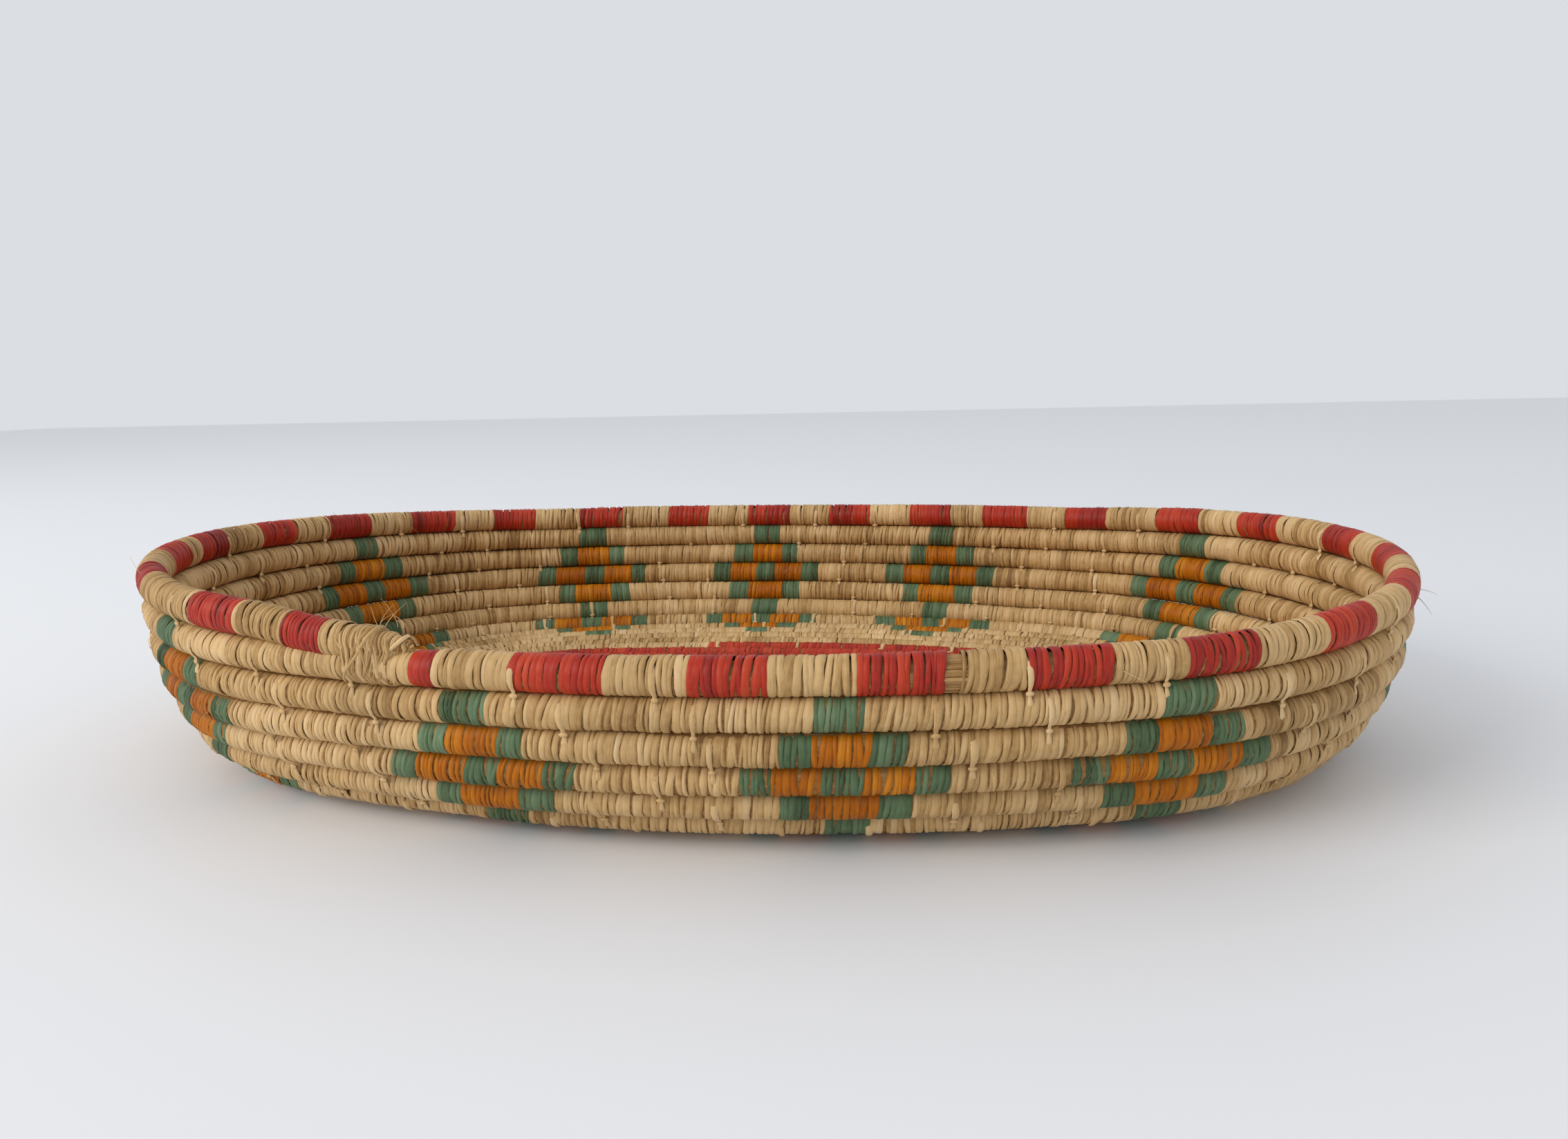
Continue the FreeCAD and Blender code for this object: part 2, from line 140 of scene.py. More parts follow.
class Arc:
    """An arc of the plan, run through counter-clockwise, with the turns at its two ends."""

    def __init__(self, x, y, radius, turn, half_share):
        self.x = x
        self.y = y
        self.radius = radius
        self.turn_from = turn + half_share
        self.turn_to = turn - half_share
        self.angle_from = 0.0
        self.angle_to = 0.0

    def samples(self):
        """Turn, x, y and z at even steps along the arc."""
        count = max(int(self.radius * (self.angle_to - self.angle_from) / SAMPLE_STEP), LEAST_SAMPLES)
        share = np.arange(count) / count
        turn = self.turn_from + share * (self.turn_to - self.turn_from)
        angle = self.angle_from + share * (self.angle_to - self.angle_from)
        height = np.array([height_at(one) for one in turn])
        climbed = np.maximum(height - BASE_HEIGHT, 0.0)
        lift = (END_LIFT * np.cos(2 * angle) + TWIST * np.sin(2 * angle)) * climbed / RIM_HEIGHT
        x = self.x + self.radius * np.cos(angle)
        y = self.y + self.radius * np.sin(angle)
        return np.stack([turn, x, y, height + lift], axis=1)


def side_arc(number):
    turn = number / 2 - JOIN_BEFORE_FRONT
    half_width, _, side_y = side_shape(turn)
    toward = 1 if number % 2 == 0 else -1
    return Arc(0.0, toward * side_y, side_y + half_width, turn, HALF_SIDE_SHARE)


def end_arc(number, before, after):
    """The end arc that touches the side arcs before and after it, found by halving its place along Y."""
    turn = (number + 0.5) / 2 - JOIN_BEFORE_FRONT
    end_x = side_shape(turn)[1]
    if number % 2 == 0:
        end_x = -end_x
    low, high = -ROW_PITCH, ROW_PITCH
    front, back = (before, after) if before.y > 0 else (after, before)
    for _ in range(HALVINGS):
        y = (low + high) / 2
        room_in_front = front.radius - math.hypot(end_x - front.x, y - front.y)
        room_behind = back.radius - math.hypot(end_x - back.x, y - back.y)
        if room_in_front < room_behind:
            low = y
        else:
            high = y
    return Arc(end_x, y, room_in_front, turn, END_SHARE / 2)


def plan_arcs():
    count = round(2 * (FIRST_ROW_TURN + JOIN_BEFORE_FRONT))
    sides = [side_arc(number) for number in range(count + 1)]
    arcs = [sides[count]]
    for number in range(count - 1, -1, -1):
        arcs.append(end_arc(number, sides[number + 1], sides[number]))
        arcs.append(sides[number])
    for before, after in zip(arcs, arcs[1:]):
        sign = 1 if before.radius > after.radius else -1
        angle = math.atan2(sign * (after.y - before.y), sign * (after.x - before.x))
        before.angle_to = angle
        after.angle_from = angle
    arcs[0].angle_from = math.pi - arcs[0].angle_to
    arcs[-1].angle_to = -math.pi - arcs[-1].angle_from
    for arc in arcs:
        if arc.angle_to < arc.angle_from:
            arc.angle_to += 2 * math.pi
    return arcs


class Noise:
    """Random values, mostly between -1 and 1, that change smoothly along the coil over the given spacing."""

    def __init__(self, spacing, seed, length):
        self.spacing = spacing
        self.knots = np.random.default_rng(seed).normal(0.0, 0.5, int(length / spacing) + 4)

    def __call__(self, place):
        step = np.maximum(place, 0.0) / self.spacing
        first = np.floor(step).astype(int)
        share = step - first
        ease = share * share * (3 - 2 * share)
        return self.knots[first] * (1 - ease) + self.knots[first + 1] * ease


def unit(vectors):
    return vectors / np.linalg.norm(vectors, axis=-1, keepdims=True)


def distances_along(points):
    """How far along the line through them each point lies."""
    return np.concatenate([[0.0], np.cumsum(np.linalg.norm(np.diff(points, axis=0), axis=1))])


def smooth_step(low, high, value):
    share = np.clip((value - low) / (high - low), 0.0, 1.0)
    return share * share * (3 - 2 * share)


class CoilLine:
    """The centre line as samples, with a frame at each.

    The frame is along the coil, out (away from the basket) and down (towards the next row).
    """

    def __init__(self):
        rows = np.concatenate([arc.samples() for arc in plan_arcs()])
        rows = rows[rows[:, 0] > LAST_TURN]
        self.turns = rows[:, 0]
        self.points = rows[:, 1:]
        self.places = distances_along(self.points)
        self.length = self.places[-1]
        self.sag_the_end()
        self.along = unit(np.gradient(self.points, axis=0))
        level = unit(np.stack([self.along[:, 1], -self.along[:, 0], 0 * self.places], axis=1))
        upright = np.cross(level, self.along)
        lean = np.radians(np.interp(self.turns, np.arange(WALL_TURNS + 1) + 0.0, WALL_LEANS + (90.0,)))
        lean = lean[:, None]
        self.down = -level * np.sin(lean) - upright * np.cos(lean)
        self.out = level * np.cos(lean) - upright * np.sin(lean)

    def sag_the_end(self):
        """The coil's end sinks as it is bound on to the row below, and the rows wander a little."""
        left = self.length - self.places
        self.points[:, 2] -= END_SAG * smooth_step(-END_SAG_LENGTH, -WHIPPING_LENGTH, -left)
        wander_in = Noise(WANDER_SPACING, WANDER_IN_SEED, self.length)(self.places) * WANDER
        wander_up = Noise(WANDER_SPACING, WANDER_UP_SEED, self.length)(self.places) * WANDER
        wander_up = wander_up * smooth_step(WALL_TURNS, WALL_TURNS - 1, self.turns)
        reach = np.linalg.norm(self.points[:, :2], axis=1)[:, None]
        self.points[:, :2] *= 1 - wander_in[:, None] / np.maximum(reach, ROW_PITCH)
        self.points[:, 2] += wander_up

    def at(self, table, place):
        return np.stack([np.interp(place, self.places, table[:, axis]) for axis in range(3)], axis=-1)

    def place(self, turn):
        return np.interp(-np.asarray(turn, dtype=float), -self.turns, self.places)

    def turn(self, place):
        return np.interp(place, self.places, self.turns)

    def surface(self, place, angle, radius):
        """Points at an angle round the bundle: 0 faces out, a right angle away from the next row."""
        place, angle, radius = np.broadcast_arrays(place, angle, radius)
        outward = self.at(self.out, place) * np.cos(angle)[..., None]
        downward = self.at(self.down, place) * np.sin(angle)[..., None]
        return self.at(self.points, place) + (outward - downward) * radius[..., None]


# ---- how the coil is bound ----
END_SAG = 3.5
END_SAG_LENGTH = 60.0
WHIPPING_LENGTH = 22.0
WHIPPING_OVERLAP = 1.0
END_TAPER = 14.0
TIP_SHARE = 0.02
WANDER = 0.25
WANDER_SPACING = 45.0

LINE = CoilLine()
FOOT_PLACE = float(LINE.place(RIM_AND_WALL_ROWS))

# ---- which colour lies where, as in the CAD part ----
RED_FIRST = 0.0035
RED_SPACING = 0.0358
RED_SHIFTS = (7, -2, 0, 0, 0, -7, -2, 9, 5, 6, 22, 22, 26, 19, 7, 3, 0, 0, 6, 9, 5, 5, -3, 2, -26, -17, 27, 8)
RED_SHARE = 0.50
RED_SHARES = {0: 0.18, 1: 0.59, 27: 0.33}
RED_CENTRE_FROM = 11.4
BARE_BANDS = {3: 4.0}
MOTIF_PLACES = (0.0145, 0.0985, 0.1725, 0.279, 0.397, 0.502, 0.578, 0.654, 0.751, 0.918)
GREEN_TIP = 12.8
GREEN_EDGE = 8.5
GREEN_HEART = 10.0
ORANGE_UPPER = 15.0
ORANGE_LOWER = 18.5
ORANGE_NARROW = 14.0


def motif_rows():
    tip = (("green", GREEN_TIP),)
    upper = (("green", GREEN_EDGE), ("orange", ORANGE_UPPER), ("green", GREEN_EDGE))
    middle = (("green", GREEN_EDGE), ("orange", ORANGE_NARROW), ("green", GREEN_HEART),
              ("orange", ORANGE_NARROW), ("green", GREEN_EDGE))
    lower = (("green", GREEN_EDGE), ("orange", ORANGE_LOWER), ("green", GREEN_EDGE))
    return list(enumerate((tip, upper, middle, lower, tip, middle, lower, tip), start=1))


def coloured_bands():
    """(start, end, colour) along the line; what lies between two bands is natural straw."""
    bands = [(0.0, float(LINE.place(RED_CENTRE_FROM)), "red")]
    for number, shift in enumerate(RED_SHIFTS):
        turn = 1 - RED_FIRST - (number + shift / 100) * RED_SPACING
        half = RED_SHARES.get(number, RED_SHARE) * RED_SPACING / 2
        start, end = float(LINE.place(turn + half)), float(LINE.place(turn - half))
        bands.append((start, end, "red"))
        if number in BARE_BANDS:
            bands.append((end, end + BARE_BANDS[number], "bare"))
    for place in MOTIF_PLACES:
        for row, blocks in motif_rows():
            start = float(LINE.place(row + 1 - place)) - sum(width for _, width in blocks) / 2
            for colour, width in blocks:
                bands.append((start, start + width, colour))
                start += width
    return sorted(bands)


def colours_at(places):
    """The colour of the strip at each place."""
    found = np.full(len(places), "straw", dtype="<U6")
    for start, end, colour in coloured_bands():
        found[(places >= start) & (places < end)] = colour
    return found


def row_name(turn):
    whole = math.floor(turn)
    if whole < 1:
        return "rim"
    if whole < RIM_AND_WALL_ROWS:
        return "wall_row_%d" % (RIM_AND_WALL_ROWS - whole)
    if turn < RED_CENTRE_FROM:
        return "base_row_%d" % (whole - RIM_AND_WALL_ROWS + 1)
    return "centre_row_%d" % (whole - math.floor(RED_CENTRE_FROM) + 1)


# ---- meshes ----
class Piece:
    """Collects patches of quads, with a tone for each point and its place on the strip's own fibres."""

    def __init__(self):
        self.points = []
        self.faces = []
        self.tones = []
        self.fibres = []
        self.count = 0

    def add_grids(self, points, tone, fibre, closed=False):
        """points and fibre: (patches, rows, columns, 3); tone: (patches, 1 or rows, 1 or columns)."""
        patches, rows, columns = points.shape[:3]
        index = np.arange(patches * rows * columns).reshape(patches, rows, columns) + self.count
        right = np.roll(index, -1, axis=2) if closed else index[:, :, 1:]
        left = index if closed else index[:, :, :-1]
        quads = np.stack([left[:, :-1], right[:, :-1], right[:, 1:], left[:, 1:]], axis=-1)
        self.points.append(points.reshape(-1, 3))
        self.faces.append(quads.reshape(-1, 4))
        self.tones.append(np.broadcast_to(tone, (patches, rows, columns)).reshape(-1))
        self.fibres.append(fibre.reshape(-1, 3))
        self.count += patches * rows * columns

    def make(self, name, material):
        mesh = bpy.data.meshes.new(name)
        points = np.concatenate(self.points) * MM
        points[:, 2] = np.maximum(points[:, 2], 0.0)
        faces = np.concatenate(self.faces)
        mesh.vertices.add(len(points))
        mesh.vertices.foreach_set("co", points.ravel().astype(np.float32))
        mesh.loops.add(faces.size)
        mesh.loops.foreach_set("vertex_index", faces.ravel().astype(np.int32))
        mesh.polygons.add(len(faces))
        mesh.polygons.foreach_set("loop_start", np.arange(0, faces.size, 4, dtype=np.int32))
        mesh.polygons.foreach_set("use_smooth", np.ones(len(faces), dtype=bool))
        mesh.update(calc_edges=True)
        tone = mesh.attributes.new("tone", "FLOAT", "POINT")
        tone.data.foreach_set("value", np.concatenate(self.tones).astype(np.float32))
        fibre = mesh.attributes.new("fibre", "FLOAT_VECTOR", "POINT")
        fibre.data.foreach_set("vector", np.concatenate(self.fibres).ravel().astype(np.float32))
        mesh.materials.append(material)
        found = bpy.data.objects.new(name, mesh)
        bpy.context.scene.collection.objects.link(found)
        return found


# ---- the strips wound on the bundle ----
STRIP_PITCH = 1.62
LEAST_PITCH = 0.8
PITCH_SPREAD = 0.22
PITCH_GROUP_LENGTH = 9.0
PITCH_GROUP_SPREAD = 0.24
FIRST_STRIP_PLACE = 0.4
PROFILE_ACROSS = np.array([-0.5, -0.27, 0.27, 0.5])
PROFILE_DROP = np.array([1.0, 0.12, 0.0, 0.9])
WALL_STEPS = 20
BASE_STEPS = 14
SEAM_ANGLE = -math.pi / 2
PRESSED = (0.15, 0.95)    # each row spreads this much at least and at most to meet its neighbours


def strip_places():
    """Where each strip lies along the coil, and its room there; the spacing varies in groups."""
    rng = np.random.default_rng(SPACING_SEED)
    group = Noise(PITCH_GROUP_LENGTH, SPACING_GROUP_SEED, LINE.length)
    places = []
    place = FIRST_STRIP_PLACE
    while place < LINE.length - WHIPPING_LENGTH + WHIPPING_OVERLAP:
        spread = PITCH_GROUP_SPREAD * float(group(np.array(place)))
        pitch = STRIP_PITCH * (1 + spread + rng.normal(0, PITCH_SPREAD))
        pitch = max(pitch, LEAST_PITCH)
        places.append((place + pitch / 2, pitch))
        place += pitch
    table = np.array(places)
    return table[:, 0], table[:, 1]


def wrapped_radius(place):
    share = smooth_step(FOOT_PLACE - RADIUS_CHANGE, FOOT_PLACE + RADIUS_CHANGE, place)
    return BASE_WRAPPED_RADIUS + (WRAPPED_RADIUS - BASE_WRAPPED_RADIUS) * share


def spread_to(places, turns_away):
    """How much further than its radius a row reaches, to meet the row that many turns down from it."""
    neighbour = LINE.at(LINE.points, LINE.place(LINE.turn(places) + turns_away))
    half = np.linalg.norm(neighbour - LINE.at(LINE.points, places), axis=-1) / 2
    return np.clip(half - wrapped_radius(places), *PRESSED)


def pressed_out(places, angle):
    """How far past its radius a row spreads at each place and angle, towards the row on that side."""
    return np.where(np.sin(angle) > 0, spread_to(places, -1)[:, None], spread_to(places, 1)[:, None])


THICKNESS_NOISE = Noise(16.0, THICKNESS_SEED, LINE.length)
LOOSENESS = Noise(120.0, LOOSENESS_SEED, LINE.length)
TONE_GROUPS = Noise(11.0, TONE_GROUP_SEED, LINE.length)
TONE_STRETCHES = Noise(70.0, TONE_STRETCH_SEED, LINE.length)
SLANT = Noise(45.0, SLANT_SEED, LINE.length)
LOOSE_MEAN = 0.15         # looseness is 0 where a strip is wound tight and 1 where it is loosest
LOOSE_NEAR_JOIN = 0.5
LOOSE_STRETCHES = 0.5
LOOSE_SPREAD = 0.12
WIDTH_TIGHT = 1.12        # width as a share of the strip's room, so that tight strips overlap a little
WIDTH_LOST_LOOSE = 0.12
WIDTH_SPREAD = 0.05
EDGE_DROP_TIGHT = 0.14
EDGE_DROP_LOOSE = 0.42
STRIP_SINK = 0.08
THICKNESS_SPREAD = 0.14
LIFT_SPREAD = 0.03
LIFT_GAIN_LOOSE = 2
SWAY_SPREAD = 0.28
SWAY_TIGHT = 0.5
SLANT_MEAN = 0.15
SLANT_SPREAD = 0.55
RIPPLE_THREE = 0.05       # height of three and of five waves round the bundle
RIPPLE_FIVE = 0.04
PINCH_TWO = 0.10          # share of the width taken by two and by five waves round the bundle
PINCH_FIVE = 0.07
# painted shade: each strip's tone falls towards its edges, where they sink into the gaps between strips
EDGE_PAINTED_SHADE = 0.2
TONE_MEAN = 0.5
TONE_GROUP_SPREAD = 0.22
TONE_STRETCH_SPREAD = 0.18
TONE_SPREAD = 0.13
# painted light: strips on the base, which faces up to the light, are made lighter than those on the wall
BASE_PAINTED_LIGHT = 0.14


def add_strips(piece, places, pitches, numbers, steps):
    """Ribbons wound once round the bundle, each from the seam against the next row back to that seam."""
    count = len(places)
    rng = np.random.default_rng(FIRST_STRIP_SEED + int(numbers[0]))
    angle = SEAM_ANGLE + np.linspace(0, 2 * math.pi, steps + 1)
    near_join = 0.5 + 0.5 * np.cos(2 * math.pi * LINE.turn(places))
    loose = LOOSE_MEAN + LOOSE_NEAR_JOIN * near_join + LOOSE_STRETCHES * LOOSENESS(places)
    loose = np.clip(loose + rng.normal(0, LOOSE_SPREAD, count), 0.0, 1.0)
    width = pitches * (WIDTH_TIGHT - WIDTH_LOST_LOOSE * loose) * (1 + rng.normal(0, WIDTH_SPREAD, count))
    edge_drop = EDGE_DROP_TIGHT + EDGE_DROP_LOOSE * loose
    radius = wrapped_radius(places) - STRIP_SINK + THICKNESS_SPREAD * THICKNESS_NOISE(places)
    radius = radius + rng.normal(0, LIFT_SPREAD, count) * (1 + LIFT_GAIN_LOOSE * loose)
    sway = rng.normal(0, SWAY_SPREAD, (count, 2)) * (SWAY_TIGHT + loose[:, None])
    slant = SLANT_MEAN + SLANT_SPREAD * SLANT(places)
    place = places[:, None] + pitches[:, None] * (angle - SEAM_ANGLE - math.pi) / (2 * math.pi)
    place = place + (sway[:, :1] + slant[:, None]) * np.sin(angle) + sway[:, 1:] * np.cos(angle)
    phase = rng.uniform(0, 2 * math.pi, (count, 2))
    ripple = RIPPLE_THREE * np.sin(3 * angle + phase[:, :1]) + RIPPLE_FIVE * np.sin(5 * angle + phase[:, 1:])
    pinch = 1 + PINCH_TWO * np.sin(2 * angle + phase[:, 1:]) + PINCH_FIVE * np.sin(5 * angle + phase[:, :1])
    across = width[:, None] * pinch
    place = place[:, :, None] + across[:, :, None] * PROFILE_ACROSS
    radius = radius[:, None] + ripple + pressed_out(places, angle) * np.sin(angle) ** 2
    reach = radius[:, :, None] - edge_drop[:, None, None] * PROFILE_DROP
    place = np.clip(place, 0.0, LINE.length)
    points = LINE.surface(place, np.broadcast_to(angle[None, :, None], place.shape), reach)
    # painted shade: darker towards the strip's sunken edges, on top of the strip's own tone
    tone = tones_of(places, rng)[:, None, None] - EDGE_PAINTED_SHADE * np.minimum(PROFILE_DROP, 1.0) ** 2
    fibre = np.stack([np.broadcast_to((angle * WRAPPED_RADIUS)[None, :, None], place.shape),
                      across[:, :, None] * PROFILE_ACROSS + 0 * place,
                      np.broadcast_to(numbers[:, None, None], place.shape)], axis=-1)
    piece.add_grids(points, tone, fibre)


def tones_of(places, rng):
    tone = TONE_MEAN + TONE_GROUP_SPREAD * TONE_GROUPS(places) + TONE_STRETCH_SPREAD * TONE_STRETCHES(places)
    tone = tone + rng.normal(0, TONE_SPREAD, len(places))
    # painted light: a lighter tone on the base, where the light falls from above
    tone = tone + np.where(places < FOOT_PLACE, BASE_PAINTED_LIGHT, 0.0)
    return np.clip(tone, 0.0, 1.0)


# ---- the straw bundle itself ----
BUNDLE_STEP = 3.0
BUNDLE_SIDES = 10
BUNDLE_DEPTH = 0.45
BUNDLE_TONE = 0.5
BUNDLE_END_GAP = 0.3
RIDGE_OVERLAP = 0.1
RIDGE_POWER = 8


def add_bundle(piece, start, end, is_end=False):
    """A tube of packed straw under the strips; on the wall a ridge fills the groove towards each next row."""
    places = np.linspace(start, end, max(int((end - start) / BUNDLE_STEP), 2) + 1)
    angle = SEAM_ANGLE + np.arange(BUNDLE_SIDES) * 2 * math.pi / BUNDLE_SIDES
    radius = (wrapped_radius(places) - BUNDLE_DEPTH) * (end_share(places) if is_end else 1)
    turn = LINE.turn(places)[:, None]
    ridge = pressed_out(places, angle) + BUNDLE_DEPTH + RIDGE_OVERLAP
    ridge = np.where(turn < RIM_AND_WALL_ROWS, ridge, 0.0)
    is_rim_top = (turn < 1) & (np.sin(angle) > 0)
    radius = radius[:, None] + np.where(is_rim_top, 0.0, ridge) * np.sin(angle) ** RIDGE_POWER
    points = LINE.surface(places[:, None], angle[None, :], radius)
    fibre = np.stack([np.broadcast_to(places[:, None], points.shape[:2]),
                      np.broadcast_to(angle * WRAPPED_RADIUS, points.shape[:2]), 0 * points[..., 0]], axis=-1)
    piece.add_grids(points[None], np.full((1, 1, 1), BUNDLE_TONE), fibre[None], closed=True)


def end_share(places):
    """1 along the coil, falling to a thin tip at its very end."""
    return np.sqrt(np.clip((LINE.length - places) / END_TAPER, TIP_SHARE, 1.0))


REED_RADIUS = 0.55
REEDS_AROUND = 26
REED_DEPTH = 0.75
REED_DEPTH_SPREAD = 0.12
REED_ANGLE_SPREAD = 0.05
REED_POINTS = 6
REED_SIDES = 6
REEDS_UNDER_STRIPS = 1.5  # how far bare reeds run on under the strips beside the gap


def add_reeds(piece, start, end):
    """Bare reeds where the strips have worn away."""
    rng = np.random.default_rng(REED_SEED)
    places = np.linspace(start, end, REED_POINTS)
    for number in range(REEDS_AROUND):
        angle = 2 * math.pi * number / REEDS_AROUND + rng.normal(0, REED_ANGLE_SPREAD)
        radius = wrapped_radius(places) - REED_DEPTH + rng.normal(0, REED_DEPTH_SPREAD)
        middle = LINE.surface(places, angle + 0 * places, radius)
        add_thread(piece, middle, REED_RADIUS * rng.uniform(0.8, 1.15), rng.uniform(0.5, 1.0), REED_SIDES)


THREAD_VARIETY = 50       # sets threads of different tone apart in the streaks


def add_thread(piece, middle, radius, tone, sides, tip=1.0):
    """A thin round stalk or fibre along the points; tip is the share of its radius left at the far end."""
    along = unit(np.gradient(middle, axis=0))
    helper = np.array([0.0, 0.0, 1.0]) if abs(along[0, 2]) < 0.9 else np.array([1.0, 0.0, 0.0])
    side = unit(np.cross(along, helper))
    other = np.cross(along, side)
    angle = np.arange(sides) * 2 * math.pi / sides
    thin = np.linspace(1.0, tip, len(middle))[:, None, None] * radius
    ring = side[:, None] * np.cos(angle)[:, None] + other[:, None] * np.sin(angle)[:, None]
    points = middle[:, None] + ring * thin
    length = distances_along(middle)
    fibre = np.stack([np.broadcast_to(length[:, None], points.shape[:2]),
                      np.broadcast_to(angle * radius, points.shape[:2]),
                      0 * points[..., 0] + tone * THREAD_VARIETY], axis=-1)
    piece.add_grids(points[None], np.full((1, 1, 1), tone), fibre[None], closed=True)


# ---- stitches between rows ----
TIE_SPACING = 31.0
TIE_STAGGER = 0.38
TIE_MARGIN = 0.15
TIE_STEPS_UPPER = np.radians([62.0, 45.0, 20.0, -5.0, -28.0, -46.0])
TIE_STEPS_LOWER = np.radians([52.0, 43.0, 33.0, 22.0])
TIE_WIDTHS = np.array([0.8, 1.0, 1.0, 0.95, 0.8, 0.62, 0.6, 0.85, 0.95, 0.6])
TIE_LIFTS = np.array([-0.35, 0.2, 0.38, 0.45, 0.5, 0.6, 0.6, 0.45, 0.2, -0.5])
TIE_PLACE_SPREAD = 0.12
TIE_SLIP = 0.5
TIE_TONE = 0.72
TIE_TONE_SPREAD = 0.15
TIE_EDGE_DROP = 0.3
TIES_TO_WHIPPING = 3.0    # no stitch lies closer to the whipping than this
KNOT_SIDES = 8
KNOT_RINGS = 5
KNOT_CLOSING = 0.96
KNOT_SINK = 0.15
KNOT_DEPTH = 0.6
KNOT_HEIGHT = 0.8


def ribbon(piece, middle, normal, width, drop, tone, number):
    """One strip along the points given, bulging along the normals."""
    along = unit(np.gradient(middle, axis=0))
    across = unit(np.cross(along, normal))
    place = PROFILE_ACROSS[None, :, None] * width[:, None, None] * across[:, None]
    sink = (PROFILE_DROP * drop)[None, :, None] * normal[:, None]
    points = middle[:, None] + place - sink
    length = distances_along(middle)
    fibre = np.stack([np.broadcast_to(length[:, None], points.shape[:2]),
                      width[:, None] * PROFILE_ACROSS[None, :], 0 * points[..., 0] + number], axis=-1)
    piece.add_grids(points[None], np.full((1, 1, 1), tone), fibre[None])


def radial(place, angle):
    return LINE.surface(place, angle, np.ones_like(angle)) - LINE.at(LINE.points, place)


def add_knot(piece, centre, along, normal, size, tone, number):
    """A small rounded lump where a stitch bites between two rows."""
    third = np.cross(along, normal)
    ring = np.linspace(-1, 1, KNOT_RINGS) * KNOT_CLOSING
    girth = np.sqrt(1 - ring ** 2)
    angle = np.arange(KNOT_SIDES) * 2 * math.pi / KNOT_SIDES
    points = (centre + ring[:, None, None] * along * size[0]
              + girth[:, None, None] * (np.cos(angle)[None, :, None] * normal * size[1]
                                        + np.sin(angle)[None, :, None] * third * size[2]))
    nothing = 0 * points[..., 0]
    fibre = np.stack([np.broadcast_to(angle, points.shape[:2]), nothing, nothing + number], axis=-1)
    piece.add_grids(points[None], np.full((1, 1, 1), tone), fibre[None], closed=True)


def add_tie(piece, place, lower_place, side, rng):
    """A strip from one row over the groove on to the next; side 1 is the outer face and -1 the inner one."""
    upper_angles = TIE_STEPS_UPPER if side > 0 else math.pi - TIE_STEPS_UPPER
    lower_angles = TIE_STEPS_LOWER if side > 0 else math.pi - TIE_STEPS_LOWER
    slip = rng.normal(0, TIE_SLIP)
    upper_places = place + np.linspace(-0.5, 0.5, len(upper_angles)) * slip
    lower_places = lower_place + slip / 2 + 0 * lower_angles
    radius_up = wrapped_radius(upper_places) + TIE_LIFTS[:len(upper_angles)]
    radius_low = wrapped_radius(lower_places) + TIE_LIFTS[len(upper_angles):]
    middle = np.concatenate([LINE.surface(upper_places, upper_angles, radius_up),
                             LINE.surface(lower_places, lower_angles, radius_low)])
    normal = np.concatenate([radial(upper_places, upper_angles), radial(lower_places, lower_angles)])
    ends = len(upper_angles)
    blend = unit(normal[ends - 1] + normal[ends])
    normal[ends - 1] = unit(normal[ends - 1] + 2 * blend)
    normal[ends] = unit(normal[ends] + 2 * blend)
    tone = float(np.clip(rng.normal(TIE_TONE, TIE_TONE_SPREAD), 0.1, 1.0))
    number = place * 7.0 + side
    width = TIE_WIDTHS * rng.uniform(1.4, 2.1)
    ribbon(piece, middle, normal, width, TIE_EDGE_DROP, tone, number)
    groove = (middle[ends - 1] + middle[ends]) / 2 - blend * KNOT_SINK
    along = unit(LINE.at(LINE.along, np.array(place)))
    add_knot(piece, groove, along, blend, (rng.uniform(0.9, 1.3), KNOT_DEPTH, KNOT_HEIGHT), tone, number)


def add_ties(pieces):
    last_whole = math.floor(FIRST_ROW_TURN)
    for whole in range(0, last_whole - 1):
        on_base = whole >= RIM_AND_WALL_ROWS - 1
        name = "tie_stitches_base_%d" % (whole - RIM_AND_WALL_ROWS + 2)
        if not on_base:
            name = "tie_stitches_wall_%d" % (RIM_AND_WALL_ROWS - 1 - whole)
        row_length = float(LINE.place(whole) - LINE.place(whole + 1))
        count = max(round(row_length / TIE_SPACING), 2)
        stagger = TIE_MARGIN + (1 - 2 * TIE_MARGIN) * ((TIE_STAGGER * whole) % 1.0)
        rng = np.random.default_rng(FIRST_TIE_SEED + whole)
        for number in range(count):
            turn = whole + 1 - (number + stagger + rng.normal(0, TIE_PLACE_SPREAD)) / count
            here = float(LINE.place(turn))
            below = float(LINE.place(turn + 1))
            if here > LINE.length - WHIPPING_LENGTH - TIES_TO_WHIPPING:
                continue
            colours = colours_at(np.array([here, below]))
            if not on_base and (colours != "straw").any():
                continue
            for side in (1, -1):
                add_tie(pieces[name], here, below, side, rng)


